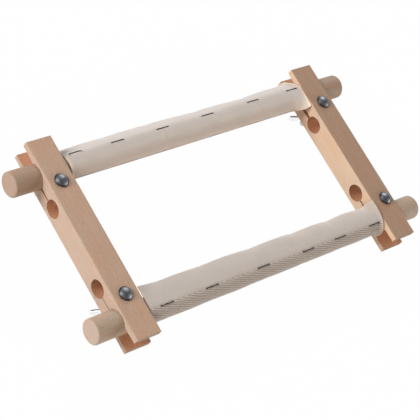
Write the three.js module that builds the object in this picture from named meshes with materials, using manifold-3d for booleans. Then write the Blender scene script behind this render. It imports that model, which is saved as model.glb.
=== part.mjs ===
// Rotating embroidery frame: two square side arms grip two tape-covered rollers in keyhole clamps.
// Millimetres, +X along the rollers, +Y to the back, +Z up, with z = 0 at the tips of the wing nuts.
import * as THREE from "three";
import { mergeVertices } from "three/addons/utils/BufferGeometryUtils.js";
import Module from "manifold-3d";

const wasm = await Module();
wasm.setup();

// Side arms, square bars
const armSection = 29.2;
const armLength = 213.6;
const armEdgeRadius = 1.9;
const armEndRadius = 0.8;
const clearWidth = 313.4; // between the arms' inner faces

// Rollers, dowels that run through both arms
const rollerDiameter = 25;
const rollerReach = 29.4; // past each arm's outer face
const rollerEndRadius = 2.2;
const rollerSpacing = 156.7; // centre to centre

// Keyhole clamp at each arm end
const boreClearance = 0.3;
const longEnd = 30.2; // bore centre to the arm's longer end
const slotHeight = 16; // open slot where it leaves the bore
const jawSpread = 0.7; // how far each jaw leans out at the arm end
const reliefDiameter = 18.6;
const reliefOffset = 35.2; // bore centre to relief hole centre
const boltOffset = 17.4; // bore centre to bolt axis
const boltClearance = 0.3;
const neckClearance = 0.3;

// Carriage bolt
const boltDiameter = 6;
const boltLength = 45; // under the head
const headDiameter = 14.4;
const headHeight = 4.2;
const headRim = 0.8; // upright edge under the dome
const neckWidth = 6.2;
const neckDepth = 4;
const boltTipBevel = 0.8;
const headGap = 0.2;

// Washer and wing nut under the arm
const seatGap = 0.3;
const washerDiameter = 12.5;
const washerThickness = 1.6;
const threadClearance = 0.3;
const hubBaseDiameter = 12.5;
const hubTopDiameter = 10;
const hubHeight = 7.5;
const wingSpan = 33;
const wingHeight = 16;
const wingThickness = 2.4;
const wingTipRadius = 3.6;
const wingRootLow = 1.2; // where a wing leaves the hub, below and above
const wingRootHigh = 6.6;

// Cotton tape stapled along its middle to each roller
const tapeWidth = 50;
const tapeThickness = 0.55;
const tapeGap = 0.25; // between tape and roller
const heldWidth = 4; // free half that stays down beside the staples
const wrapHeldWidth = 6; // wrapped half that stays down even at a sprung end
const puckerReach = 15; // how far a staple's pull shows along the tape
const puckerDepth = 0.16; // share by which the free edge curls tighter at a staple
const wrapLift = 0.6; // how far the wrapped edge stands off between staples
const lipWidth = 3.7; // cut end that can lift clear of the roller, past the last staple

// Staples
const stapleCrown = 15;
const stapleLeg = 7;
const stapleWire = 0.7;
const stapleGap = 0.1; // under the crown
const legClearance = 0.25;

// Facets
const roundSteps = 48;
const smallSteps = 24;
const cornerSteps = 4;
const endSteps = 3;
const tapeStepsAcross = 16;
const tapeStepsAlong = 27;

// Saw cut left open by each clamp, how far off its mark the bolt hole was drilled, along X and Y,
// and how its wing nut came to rest
const clamps = [
  {
    name: "left_front", side: -1, end: -1, kerfAtBore: 1.3, kerfAtRelief: 1.0,
    boltShift: [-0.4, 0.4], wingTurn: 150,
  },
  {
    name: "left_back", side: -1, end: 1, kerfAtBore: 2.8, kerfAtRelief: 1.0,
    boltShift: [-0.5, 1.0], wingTurn: 100,
  },
  {
    name: "right_front", side: 1, end: -1, kerfAtBore: 2.4, kerfAtRelief: 1.6,
    boltShift: [3.4, -1.0], wingTurn: 146,
  },
  {
    name: "right_back", side: 1, end: 1, kerfAtBore: 4.2, kerfAtRelief: 3.2,
    boltShift: [0.8, -1.6], wingTurn: 134,
  },
];

// Tapes: the gaps from their cut ends to the arms, how far the left end's wrapped corner is cut
// back, where the staples lie, and how the free half bends as it leaves the roller, in degrees at
// even steps from left to right. A staple's place along the tape is a share of its length from the
// left end. Angles are in degrees from the back, over the top, to the front. An end springs open
// over its reach: free and wrapped are the shares of bend that the two halves lose there.
const tapes = [
  {
    name: "front",
    end: -1,
    endGap: { left: 1.6, right: 0.8 },
    cutBack: 1.5,
    middleAngle: { left: 108, right: 119 },
    freeBend: [24, 29, 37, 45, 52, 57],
    spring: {
      left: { reach: 32, free: 0.85, wrapped: 0, lift: 0 },
      right: { reach: 12, free: 0.65, wrapped: 0, lift: 3.6 },
    },
    staples: [
      { along: 0.0633, angle: 109 },
      { along: 0.2418, angle: 110 },
      { along: 0.4559, angle: 111 },
      { along: 0.6518, angle: 117 },
      { along: 0.799, angle: 117 },
      { along: 0.963, angle: 118 },
    ],
  },
  {
    name: "back",
    end: 1,
    endGap: { left: 5.2, right: 0.8 },
    cutBack: 8,
    middleAngle: { left: 60, right: 65 },
    freeBend: [13, 11, 12, 20, 25, 15],
    spring: {
      left: { reach: 12, free: 0, wrapped: 0, lift: 0 },
      right: { reach: 28, free: 0, wrapped: 0.85, lift: 1.6 },
    },
    staples: [
      { along: 0.0374, angle: 53 },
      { along: 0.1988, angle: 62 },
      { along: 0.3822, angle: 64 },
      { along: 0.5754, angle: 64 },
      { along: 0.7801, angle: 63 },
      { along: 0.9629, angle: 64 },
    ],
  },
];

// Places worked out from the sizes
const shortEnd = armLength - rollerSpacing - longEnd;
const armX = (clearWidth + armSection) / 2;
const rollerLength = clearWidth + 2 * (armSection + rollerReach);
const rollerRadius = rollerDiameter / 2;
const boreRadius = rollerRadius + boreClearance;
const stackDepth = seatGap + washerThickness + seatGap;
const midZ = wingHeight + stackDepth + armSection / 2;
const tapeMiddleRadius = rollerRadius + tapeGap + tapeThickness / 2;
const shankRadius = boltDiameter / 2;
const threadHoleRadius = shankRadius + threadClearance;
const cutMargin = 1; // cutters run this far past what they cut

const beechArm = new THREE.MeshStandardMaterial({ color: 0xc9a283, roughness: 0.62, metalness: 0 });
const beechRoller = new THREE.MeshStandardMaterial({ color: 0xcdb592, roughness: 0.6, metalness: 0 });
const cottonTape = new THREE.MeshStandardMaterial({ color: 0xcbc2b8, roughness: 0.9, metalness: 0 });
const zincSteel = new THREE.MeshStandardMaterial({ color: 0x7d838a, roughness: 0.35, metalness: 1 });
const stapleSteel = new THREE.MeshStandardMaterial({ color: 0x6a6663, roughness: 0.4, metalness: 1 });

// A closed geometry as a solid that can be joined and cut
function toSolid(geometry) {
  geometry.deleteAttribute("normal");
  geometry.deleteAttribute("uv");
  const merged = mergeVertices(geometry, 1e-4);
  const index = merged.index.array;
  const triangles = [];
  for (let i = 0; i < index.length; i += 3) {
    const [a, b, c] = [index[i], index[i + 1], index[i + 2]];
    if (a !== b && b !== c && c !== a) triangles.push(a, b, c);
  }
  const mesh = new wasm.Mesh({
    numProp: 3,
    vertProperties: new Float32Array(merged.attributes.position.array),
    triVerts: new Uint32Array(triangles),
  });
  return new wasm.Manifold(mesh);
}

function toGeometry(solid) {
  const mesh = solid.getMesh();
  const geometry = new THREE.BufferGeometry();
  geometry.setAttribute("position", new THREE.BufferAttribute(new Float32Array(mesh.vertProperties), 3));
  geometry.setIndex(new THREE.BufferAttribute(new Uint32Array(mesh.triVerts), 1));
  geometry.computeVertexNormals();
  return geometry;
}

function piece(name, solid, material) {
  const mesh = new THREE.Mesh(toGeometry(solid), material);
  mesh.name = name;
  return mesh;
}

// Local x, y and z of an extrusion laid along the given world directions
function turnedTo(geometry, xTo, yTo, zTo) {
  return geometry.applyMatrix4(new THREE.Matrix4().makeBasis(xTo, yTo, zTo));
}

const alongX = new THREE.Vector3(1, 0, 0);
const alongY = new THREE.Vector3(0, 1, 0);
const alongZ = new THREE.Vector3(0, 0, 1);

function centredExtrusion(shape, depth) {
  const settings = { depth, bevelEnabled: false, curveSegments: cornerSteps };
  const geometry = new THREE.ExtrudeGeometry(shape, settings);
  return geometry.translate(0, 0, -depth / 2);
}

function roundedRectangle(width, height, radius) {
  const [w, h] = [width / 2, height / 2];
  const shape = new THREE.Shape();
  shape.absarc(w - radius, h - radius, radius, 0, Math.PI / 2);
  shape.absarc(-w + radius, h - radius, radius, Math.PI / 2, Math.PI);
  shape.absarc(-w + radius, -h + radius, radius, Math.PI, Math.PI * 1.5);
  shape.absarc(w - radius, -h + radius, radius, Math.PI * 1.5, Math.PI * 2);
  return shape;
}

// Round bar or hole along X or Z
function rodAlongX(radius, length, steps) {
  return toSolid(new THREE.CylinderGeometry(radius, radius, length, steps).rotateZ(Math.PI / 2));
}

function rodAlongZ(radius, length, steps) {
  return toSolid(new THREE.CylinderGeometry(radius, radius, length, steps).rotateX(Math.PI / 2));
}

// Solid of revolution about Z, from (radius, height) points going up
function turnedPiece(points, steps) {
  const profile = points.map(([radius, height]) => new THREE.Vector2(radius, height));
  return toSolid(new THREE.LatheGeometry(profile, steps).rotateX(Math.PI / 2));
}

// Flat-sided cut across the arm, from a (y, z) outline
function cutAcross(outline) {
  const shape = new THREE.Shape(outline.map(([y, z]) => new THREE.Vector2(y, z)));
  const depth = armSection + 2 * cutMargin;
  return toSolid(turnedTo(centredExtrusion(shape, depth), alongY, alongZ, alongX));
}

// Bar with eased long edges and lightly eased ends, centred on the origin
function armBlank() {
  const section = turnedTo(
    centredExtrusion(roundedRectangle(armSection, armSection, armEdgeRadius), armLength + cutMargin),
    alongZ, alongX, alongY,
  );
  const face = () => centredExtrusion(
    roundedRectangle(armLength, armSection, armEndRadius), armSection + cutMargin,
  );
  const side = turnedTo(face(), alongY, alongZ, alongX);
  const top = turnedTo(face(), alongY, alongX.clone().negate(), alongZ);
  return toSolid(section).intersect(toSolid(side)).intersect(toSolid(top));
}

// Everything that one clamp takes out of the arm, in the arm's own frame.
// The slot and the thin saw cut lie in line with the bore, and the bolt crosses the saw cut.
function clampCut(clamp, boreY) {
  const out = clamp.end;
  const at = (distance) => boreY + out * distance;
  const endDistance = clamp.end === -clamp.side ? longEnd : shortEnd;
  const half = slotHeight / 2;
  const slotStart = Math.sqrt(boreRadius ** 2 - half ** 2);
  const spreadRate = jawSpread / (endDistance - slotStart);
  const slotEnd = endDistance + cutMargin;
  const endHalf = half + spreadRate * (slotEnd - slotStart);
  const inner = half - spreadRate * slotStart;
  const slot = cutAcross(ordered([
    [at(0), -inner], [at(slotEnd), -endHalf], [at(slotEnd), endHalf], [at(0), inner],
  ]));
  const boreHalf = clamp.kerfAtBore / 2;
  const reliefHalf = clamp.kerfAtRelief / 2;
  const kerf = cutAcross(ordered([
    [at(-reliefOffset), -reliefHalf], [at(-boreRadius), -boreHalf], [at(0), -boreHalf],
    [at(0), boreHalf], [at(-boreRadius), boreHalf], [at(-reliefOffset), reliefHalf],
  ]));
  const through = armSection + 2 * cutMargin;
  const bore = rodAlongX(boreRadius, through, roundSteps).translate(0, at(0), 0);
  const relief = rodAlongX(reliefDiameter / 2, through, roundSteps).translate(0, at(-reliefOffset), 0);
  const [boltX, boltY] = boltPlace(clamp);
  const boltHole = rodAlongZ(shankRadius + boltClearance, through, smallSteps).translate(boltX, boltY, 0);
  const recessWidth = neckWidth + 2 * neckClearance;
  const recessDepth = neckDepth + neckClearance;
  const recess = toSolid(new THREE.BoxGeometry(recessWidth, recessWidth, recessDepth + cutMargin))
    .translate(boltX, boltY, armSection / 2 + (cutMargin - recessDepth) / 2);
  return bore.add(slot).add(kerf).add(relief).add(boltHole).add(recess);
}

// An outline in anticlockwise order, whichever way it was given
function ordered(outline) {
  const area = outline.reduce((sum, [x, y], i) => {
    const [nextX, nextY] = outline[(i + 1) % outline.length];
    return sum + x * nextY - nextX * y;
  }, 0);
  return area > 0 ? outline : [...outline].reverse();
}

function armCentreY(side) {
  return (-side * (longEnd - shortEnd)) / 2;
}

// Bolt axis in the arm's frame, along X and Y
function boltPlace(clamp) {
  const [shiftX, shiftY] = clamp.boltShift;
  return [shiftX, clamp.end * (rollerSpacing / 2 - boltOffset) + shiftY];
}

function makeArm(name, side) {
  let solid = armBlank().translate(0, armCentreY(side), 0);
  for (const clamp of clamps.filter((each) => each.side === side)) {
    solid = solid.subtract(clampCut(clamp, (clamp.end * rollerSpacing) / 2));
  }
  const arm = piece(name, solid, beechArm);
  arm.position.set(side * armX, 0, midZ);
  return arm;
}

// Two legs and a crown, with the crown's underside at z = 0 and the legs down
function makeStapleSolid() {
  const half = stapleCrown / 2;
  const bend = stapleWire;
  const shape = new THREE.Shape();
  shape.moveTo(-half, -stapleLeg);
  shape.lineTo(-half + stapleWire, -stapleLeg);
  shape.lineTo(-half + stapleWire, 0);
  shape.lineTo(half - stapleWire, 0);
  shape.lineTo(half - stapleWire, -stapleLeg);
  shape.lineTo(half, -stapleLeg);
  shape.absarc(half - bend, stapleWire - bend, bend, 0, Math.PI / 2);
  shape.absarc(-half + bend, stapleWire - bend, bend, Math.PI / 2, Math.PI);
  return toSolid(turnedTo(centredExtrusion(shape, stapleWire), alongX, alongZ, alongY.clone().negate()));
}

function tapeLeft(tape) {
  return tape.endGap.left - clearWidth / 2;
}

function tapeLength(tape) {
  return clearWidth - tape.endGap.left - tape.endGap.right;
}

function stapleX(tape, staple) {
  return tapeLeft(tape) + staple.along * tapeLength(tape);
}

// Places a solid from the staple's own frame on the roller, in the roller's frame
function stapleFrame(tape, staple) {
  const turn = THREE.MathUtils.degToRad(staple.angle) - Math.PI / 2;
  const seat = tapeMiddleRadius + tapeThickness / 2 + stapleGap;
  return new THREE.Matrix4()
    .makeTranslation(stapleX(tape, staple), 0, 0)
    .multiply(new THREE.Matrix4().makeRotationX(turn))
    .multiply(new THREE.Matrix4().makeTranslation(0, 0, seat));
}

// The slits that a staple's legs leave in the tape and the roller
function stapleSlits(tape, staple) {
  const width = stapleWire + 2 * legClearance;
  const depth = stapleLeg + legClearance;
  const slits = [-1, 1].map((sign) => {
    const box = new THREE.BoxGeometry(width, width, depth);
    box.translate(sign * (stapleCrown - stapleWire) / 2, 0, -depth / 2);
    return toSolid(box.applyMatrix4(stapleFrame(tape, staple)));
  });
  return slits[0].add(slits[1]);
}

function makeRoller(tape) {
  const half = rollerLength / 2;
  const round = [];
  for (let i = 0; i <= endSteps; i += 1) {
    const angle = (i / endSteps) * (Math.PI / 2);
    round.push([
      rollerRadius - rollerEndRadius * (1 - Math.cos(angle)),
      half - rollerEndRadius * (1 - Math.sin(angle)),
    ]);
  }
  const nearEnd = round.map(([radius, height]) => [radius, -height]).reverse();
  let solid = turnedPiece([[0, -half], ...nearEnd, ...round, [0, half]], roundSteps).rotate([0, 90, 0]);
  for (const staple of tape.staples) solid = solid.subtract(stapleSlits(tape, staple));
  return piece(`roller_${tape.name}`, solid, beechRoller);
}

// How strongly the staples pull the tape in at x, from 0 to about 1
function stapleHold(tape, x) {
  const pull = (staple) => Math.exp(-(((x - stapleX(tape, staple)) / puckerReach) ** 2));
  return tape.staples.reduce((sum, staple) => sum + pull(staple), 0);
}

// Value at a share of the way through an evenly spaced list
function valueAt(list, share) {
  const place = Math.min(Math.max(share, 0), 1) * (list.length - 1);
  const step = Math.min(Math.floor(place), list.length - 2);
  return THREE.MathUtils.lerp(list[step], list[step + 1], place - step);
}

// How far the cloth has sprung open at x, and how far its cut end has lifted
function springAt(tape, x) {
  const total = { free: 0, wrapped: 0, lift: 0 };
  const fromLeft = x - tapeLeft(tape);
  const places = [
    [tape.spring.left, fromLeft],
    [tape.spring.right, tapeLength(tape) - fromLeft],
  ];
  for (const [spring, distance] of places) {
    const open = Math.max(0, 1 - distance / spring.reach) ** 2;
    total.free += spring.free * open;
    total.wrapped += spring.wrapped * open;
    total.lift += spring.lift * Math.max(0, 1 - distance / lipWidth) ** 1.5;
  }
  return total;
}

// Moves along a circular arc from a point whose outward direction is at the given angle
function alongArc(start, angle, length, radius) {
  const turned = angle + length / radius;
  const direction = new THREE.Vector2(Math.cos(turned), Math.sin(turned));
  const before = new THREE.Vector2(Math.cos(angle), Math.sin(angle));
  const point = start.clone().addScaledVector(direction, Math.abs(radius));
  return { point: point.addScaledVector(before, -Math.abs(radius)), direction };
}

// Middle line of the tape across its width at x: point and outward direction for each step.
// One half wraps down the front of the roller, and the other leaves it and bends over the back.
function tapeSection(tape, x) {
  const along = (x - tapeLeft(tape)) / tapeLength(tape);
  const middle = THREE.MathUtils.degToRad(
    THREE.MathUtils.lerp(tape.middleAngle.left, tape.middleAngle.right, along),
  );
  const hold = Math.min(1, stapleHold(tape, x));
  const spring = springAt(tape, x);
  const base = tapeMiddleRadius + spring.lift;
  const bend = THREE.MathUtils.degToRad(valueAt(tape.freeBend, along)) * (1 - spring.free);
  const curl = ((tapeWidth / 2 - heldWidth) / bend) * (1 - puckerDepth * hold);
  const wrap = base / (1 - spring.wrapped);
  const onBase = (angle) => new THREE.Vector2(Math.cos(angle), Math.sin(angle)).multiplyScalar(base);
  const points = [];
  for (let i = 0; i <= tapeStepsAcross; i += 1) {
    const offset = (i / tapeStepsAcross - 0.5) * tapeWidth;
    const held = THREE.MathUtils.clamp(offset, -wrapHeldWidth, heldWidth);
    const leaving = middle - held / base;
    const radius = offset > 0 ? -curl : wrap;
    const step = alongArc(onBase(leaving), leaving, Math.abs(offset - held), radius);
    const wrapped = Math.max(0, -offset) / (tapeWidth / 2);
    step.point.addScaledVector(step.direction, wrapLift * (1 - hold) * wrapped ** 2);
    step.back = tape.cutBack * wrapped * (1 - along);
    points.push(step);
  }
  return points;
}

// Rows along the tape, with closer ones where a cut end can lift
function tapeRows(tape) {
  const shares = [];
  for (let row = 0; row <= tapeStepsAlong; row += 1) shares.push(row / tapeStepsAlong);
  const lip = lipWidth / tapeLength(tape);
  shares.splice(-1, 0, 1 - lip, 1 - lip / 2);
  return shares;
}

// Thin closed band from the sections along the roller
function makeTape(tape) {
  const positions = [];
  const index = [];
  const rows = tapeRows(tape);
  const lastRow = rows.length - 1;
  const columns = tapeStepsAcross + 1;
  const corner = (row, column, layer) => (row * columns + column) * 2 + layer;
  const quad = (a, b, c, d) => index.push(a, b, c, a, c, d);
  for (const share of rows) {
    const x = tapeLeft(tape) + share * tapeLength(tape);
    for (const { point, direction, back } of tapeSection(tape, x)) {
      for (const layer of [-1, 1]) {
        const y = point.x + (direction.x * layer * tapeThickness) / 2;
        const z = point.y + (direction.y * layer * tapeThickness) / 2;
        positions.push(x + back, y, z);
      }
    }
  }
  for (let row = 0; row < lastRow; row += 1) {
    for (let column = 0; column < tapeStepsAcross; column += 1) {
      for (const layer of [0, 1]) {
        const cell = [
          corner(row, column, layer), corner(row + 1, column, layer),
          corner(row + 1, column + 1, layer), corner(row, column + 1, layer),
        ];
        quad(...(layer === 1 ? cell : cell.reverse()));
      }
    }
    for (const column of [0, tapeStepsAcross]) {
      const edge = [
        corner(row, column, 0), corner(row, column, 1),
        corner(row + 1, column, 1), corner(row + 1, column, 0),
      ];
      quad(...(column === 0 ? edge.reverse() : edge));
    }
  }
  for (let column = 0; column < tapeStepsAcross; column += 1) {
    for (const row of [0, lastRow]) {
      const edge = [
        corner(row, column, 0), corner(row, column + 1, 0),
        corner(row, column + 1, 1), corner(row, column, 1),
      ];
      quad(...(row === 0 ? edge.reverse() : edge));
    }
  }
  const band = new THREE.BufferGeometry();
  band.setAttribute("position", new THREE.Float32BufferAttribute(positions, 3));
  band.setIndex(index);
  let solid = toSolid(band);
  for (const staple of tape.staples) solid = solid.subtract(stapleSlits(tape, staple));
  return piece(`tape_${tape.name}`, solid, cottonTape);
}

// Domed head, square neck and round shank, with the underside of the head at z = 0
function makeBoltSolid() {
  const domeSteps = 5;
  const domeHeight = headHeight - headRim;
  const headRadius = headDiameter / 2;
  const sphere = (headRadius ** 2 + domeHeight ** 2) / (2 * domeHeight);
  const reach = Math.asin(headRadius / sphere);
  const points = [[0, -boltLength], [shankRadius - boltTipBevel, -boltLength]];
  points.push([shankRadius, -boltLength + boltTipBevel], [shankRadius, 0], [headRadius, 0]);
  for (let i = 0; i <= domeSteps; i += 1) {
    const angle = reach * (1 - i / domeSteps);
    const radius = i === domeSteps ? 0 : sphere * Math.sin(angle);
    points.push([radius, headHeight - sphere * (1 - Math.cos(angle))]);
  }
  const neckTop = headRim / 2;
  const neck = toSolid(new THREE.BoxGeometry(neckWidth, neckWidth, neckDepth + neckTop))
    .translate(0, 0, (neckTop - neckDepth) / 2);
  return turnedPiece(points, smallSteps).add(neck);
}

// Flat ring with its top at z = 0
function makeWasherSolid() {
  const outer = washerDiameter / 2;
  return turnedPiece([
    [threadHoleRadius, -washerThickness], [outer, -washerThickness], [outer, 0],
    [threadHoleRadius, 0], [threadHoleRadius, -washerThickness],
  ], smallSteps);
}

// One wing as a flat ear in the XZ plane: a round tip joined to the hub by its tangents
function wingOutline() {
  const tip = new THREE.Vector2(wingSpan / 2 - wingTipRadius, wingHeight - wingTipRadius);
  const rootX = shankRadius + threadClearance + wingThickness / 2;
  const tangentAngle = (root, side) => {
    const away = tip.clone().sub(root);
    return away.angle() + side * Math.acos(wingTipRadius / away.length()) + Math.PI;
  };
  const low = new THREE.Vector2(rootX, wingRootLow);
  const high = new THREE.Vector2(rootX, wingRootHigh);
  const shape = new THREE.Shape();
  shape.moveTo(rootX, wingRootHigh);
  shape.lineTo(rootX, wingRootLow);
  shape.absarc(tip.x, tip.y, wingTipRadius, tangentAngle(low, 1), Math.PI / 2);
  shape.absarc(tip.x, tip.y, wingTipRadius, Math.PI / 2, tangentAngle(high, -1));
  return shape;
}

// Wing nut with its seat at z = 0 and its wings reaching down
function makeWingNutSolid() {
  const hub = turnedPiece([
    [0, 0], [hubBaseDiameter / 2, 0], [hubTopDiameter / 2, hubHeight], [0, hubHeight],
  ], smallSteps);
  const blank = centredExtrusion(wingOutline(), wingThickness);
  const ear = toSolid(turnedTo(blank, alongX, alongZ, alongY.clone().negate()));
  const hole = rodAlongZ(threadHoleRadius, 2 * (hubHeight + cutMargin), smallSteps);
  return hub.add(ear).add(ear.rotate([0, 0, 180])).subtract(hole).rotate([180, 0, 0]);
}

const frame = new THREE.Group();
frame.add(makeArm("arm_left", -1), makeArm("arm_right", 1));

for (const tape of tapes) {
  const roller = new THREE.Group();
  roller.position.set(0, (tape.end * rollerSpacing) / 2, midZ);
  roller.add(makeRoller(tape), makeTape(tape));
  tape.staples.forEach((each, i) => {
    const staple = piece(`staple_${tape.name}_${i + 1}`, makeStapleSolid(), stapleSteel);
    staple.applyMatrix4(stapleFrame(tape, each));
    roller.add(staple);
  });
  frame.add(roller);
}

for (const clamp of clamps) {
  const fastener = new THREE.Group();
  const [boltX, boltY] = boltPlace(clamp);
  fastener.position.set(clamp.side * armX + boltX, boltY, midZ);
  const bolt = piece(`bolt_${clamp.name}`, makeBoltSolid(), zincSteel);
  bolt.position.z = armSection / 2 + headGap;
  const washer = piece(`washer_${clamp.name}`, makeWasherSolid(), zincSteel);
  washer.position.z = -armSection / 2 - seatGap;
  const nut = piece(`wing_nut_${clamp.name}`, makeWingNutSolid(), zincSteel);
  nut.position.z = -armSection / 2 - stackDepth;
  nut.rotation.z = THREE.MathUtils.degToRad(clamp.wingTurn);
  fastener.add(bolt, washer, nut);
  frame.add(fastener);
}

export default frame;
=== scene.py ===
import math

import bmesh
import bpy
from mathutils import Matrix, Quaternion, Vector, noise


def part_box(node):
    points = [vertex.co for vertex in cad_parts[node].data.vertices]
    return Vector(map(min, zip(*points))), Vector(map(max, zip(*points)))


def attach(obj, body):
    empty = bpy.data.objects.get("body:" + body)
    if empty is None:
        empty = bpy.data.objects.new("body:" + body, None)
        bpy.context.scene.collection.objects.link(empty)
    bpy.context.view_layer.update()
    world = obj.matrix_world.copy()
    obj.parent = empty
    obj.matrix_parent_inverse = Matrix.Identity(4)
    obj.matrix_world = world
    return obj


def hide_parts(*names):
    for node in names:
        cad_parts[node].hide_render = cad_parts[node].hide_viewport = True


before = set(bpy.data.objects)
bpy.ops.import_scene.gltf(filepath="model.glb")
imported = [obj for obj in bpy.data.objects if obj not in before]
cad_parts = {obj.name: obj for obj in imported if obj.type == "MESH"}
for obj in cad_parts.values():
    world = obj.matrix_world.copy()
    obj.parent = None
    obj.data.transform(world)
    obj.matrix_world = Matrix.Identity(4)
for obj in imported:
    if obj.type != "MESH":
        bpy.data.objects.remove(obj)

bl_info = {
    "name": "Rotating Embroidery Frame",
    "version": (1, 0, 0),
    "blender": (4, 5, 0),
    "location": "View3D > Sidebar > Embroidery Frame",
    "description": "Beech arms and rollers, stapled cotton tape and bright fasteners of an embroidery frame",
    "category": "Object",
}

# Sizes are in metres, and MM writes one in millimetres.
MM = 0.001
SIDES = ("left", "right")
ENDS = ("front", "back")
CLAMPS = [f"{side}_{end}" for side in SIDES for end in ENDS]
TAPE_WIDTH = 50 * MM
STAPLES_EACH = 6
STAPLE_CROWN = 15 * MM
STAPLE_LEG = 7 * MM
STAPLE_WIRE = 0.7 * MM


# Values read from the frame

def box_centre(node):
    low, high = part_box(node)
    return (low + high) / 2


def box_size(node):
    low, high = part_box(node)
    return high - low


def points_of(node):
    return [v.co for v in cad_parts[node].data.vertices]


def wing_turn(node, centre, hub_reach):
    """How far a wing nut's wings are turned from X, seen from above. The hub's own points are left out."""
    points = [point - centre for point in points_of(node)]
    tip = max(points, key=lambda p: p.xy.length)
    wings = [p for p in points if p.z < tip.z + MM and p.xy.length > hub_reach]
    total = sum((p if p.dot(tip) > 0 else -p for p in wings), Vector())
    return math.atan2(total.y, total.x)


def staple_seat(node, axis):
    """A staple's middle along X and its direction from the roller's axis, as an angle from +Y."""
    points = points_of(node)
    middle = sum(points, Vector()) / len(points)
    return box_centre(node).x, math.atan2(middle.z - axis.z, middle.y - axis.y)


# Settings that a user may change

class WoodSettings(bpy.types.PropertyGroup):
    # Each arm's side colour differs from its top colour partly for its quarter-sawn and flat-sawn grain and
    # partly as painted light: the right arm's sides are painted paler and its top darker, for how the light
    # falls on them.
    left_top: bpy.props.FloatVectorProperty(
        name="Left arm, flat-sawn faces", description="Steamed beech on the left arm's top and underside",
        subtype="COLOR", size=3, min=0, max=1, default=(0.64, 0.43, 0.30))
    left_side: bpy.props.FloatVectorProperty(
        name="Left arm, quarter-sawn faces", description="Steamed beech on the left arm's sides",
        subtype="COLOR", size=3, min=0, max=1, default=(0.60, 0.45, 0.35))
    right_top: bpy.props.FloatVectorProperty(
        name="Right arm, flat-sawn faces", description="Redder beech on the right arm's top and underside",
        subtype="COLOR", size=3, min=0, max=1, default=(0.51, 0.325, 0.215))
    right_side: bpy.props.FloatVectorProperty(
        name="Right arm, quarter-sawn faces", description="Paler beech on the right arm's sides",
        subtype="COLOR", size=3, min=0, max=1, default=(0.76, 0.56, 0.40))
    roller_front: bpy.props.FloatVectorProperty(
        name="Front roller", description="Pale beech of the front roller",
        subtype="COLOR", size=3, min=0, max=1, default=(0.54, 0.40, 0.285))
    roller_back: bpy.props.FloatVectorProperty(
        name="Back roller", description="Pale beech of the back roller",
        subtype="COLOR", size=3, min=0, max=1, default=(0.455, 0.312, 0.212))
    # The cut colour is painted warm bounce light and shade of the recesses, redder than the wood around them.
    cut_colour: bpy.props.FloatVectorProperty(
        name="Cut colour", description="Redder wood inside the drilled and sawn cuts",
        subtype="COLOR", size=3, min=0, max=1, default=(0.69, 0.37, 0.215))
    ring_spacing: bpy.props.FloatProperty(
        name="Ring spacing", description="Width of one year's growth",
        unit="LENGTH", default=2.6 * MM, min=0.5 * MM, max=8 * MM)
    edge_ease: bpy.props.FloatProperty(
        name="Edge ease", description="How far the sanded edges of the cuts are rounded",
        unit="LENGTH", default=0.3 * MM, min=0.05 * MM, max=0.5 * MM)


class TapeSettings(bpy.types.PropertyGroup):
    colour: bpy.props.FloatVectorProperty(
        name="Cotton colour", description="Unbleached cotton",
        subtype="COLOR", size=3, min=0, max=1, default=(0.735, 0.665, 0.60))
    thickness: bpy.props.FloatProperty(
        name="Thickness", description="Thickness of the tape",
        unit="LENGTH", default=0.55 * MM, min=0.2 * MM, max=1 * MM)
    twill_pitch: bpy.props.FloatProperty(
        name="Twill pitch", description="Distance between two twill lines",
        unit="LENGTH", default=2.1 * MM, min=0.5 * MM, max=4 * MM)
    twill_angle: bpy.props.FloatProperty(
        name="Twill angle", description="Slope of the twill lines against the tape's length",
        subtype="ANGLE", default=math.radians(18), min=0.0, max=math.radians(80))


class SteelSettings(bpy.types.PropertyGroup):
    # The bolts' dark colour is partly painted reflection of a dark room above the heads; below the arms the
    # same bolts take the nuts' bright colour.
    bolt_colour: bpy.props.FloatVectorProperty(
        name="Bolt colour", description="Dull dark zinc of the carriage bolts",
        subtype="COLOR", size=3, min=0, max=1, default=(0.27, 0.285, 0.305))
    nut_colour: bpy.props.FloatVectorProperty(
        name="Wing nut colour", description="Bright zinc of the wing nuts and washers",
        subtype="COLOR", size=3, min=0, max=1, default=(0.93, 0.93, 0.94))
    staple_colour: bpy.props.FloatVectorProperty(
        name="Staple colour", description="Dark staple wire",
        subtype="COLOR", size=3, min=0, max=1, default=(0.03, 0.026, 0.023))
    thread_pitch: bpy.props.FloatProperty(
        name="Thread pitch", description="Rise of the bolt's thread in one turn",
        unit="LENGTH", default=1.0 * MM, min=0.5 * MM, max=2 * MM)


class StageSettings(bpy.types.PropertyGroup):
    camera_place: bpy.props.FloatVectorProperty(
        name="Camera place", description="Where the photograph's camera stood",
        subtype="TRANSLATION", size=3, default=(-0.92664, -0.35500, 1.12289))
    camera_target: bpy.props.FloatVectorProperty(
        name="Camera target", description="Point at the middle of the picture",
        subtype="TRANSLATION", size=3, default=(-0.025125, -0.007716, 0.0328))
    camera_roll: bpy.props.FloatProperty(
        name="Camera roll", description="Turn of the camera about its line of sight",
        subtype="ANGLE", default=math.radians(43.3968))
    lens: bpy.props.FloatProperty(
        name="Lens", description="Focal length in millimetres for a 36 mm picture",
        default=127.9755, min=20, max=400)
    key_power: bpy.props.FloatProperty(
        name="Key light", description="Power of the soft light at the back on the left",
        unit="POWER", default=162, min=0, max=1000)
    back_power: bpy.props.FloatProperty(
        name="Back light", description="Power of the soft light at the back on the right",
        unit="POWER", default=80, min=0, max=1000)
    right_power: bpy.props.FloatProperty(
        name="Right fill", description="Power of the low light in front on the right",
        unit="POWER", default=84, min=0, max=1000)
    left_power: bpy.props.FloatProperty(
        name="Left fill", description="Power of the low warm light in front on the left",
        unit="POWER", default=50, min=0, max=1000)
    surround: bpy.props.FloatProperty(
        name="Surround", description="Even light from the studio's walls",
        default=0.12, min=0, max=2)


# Shader maths

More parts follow.
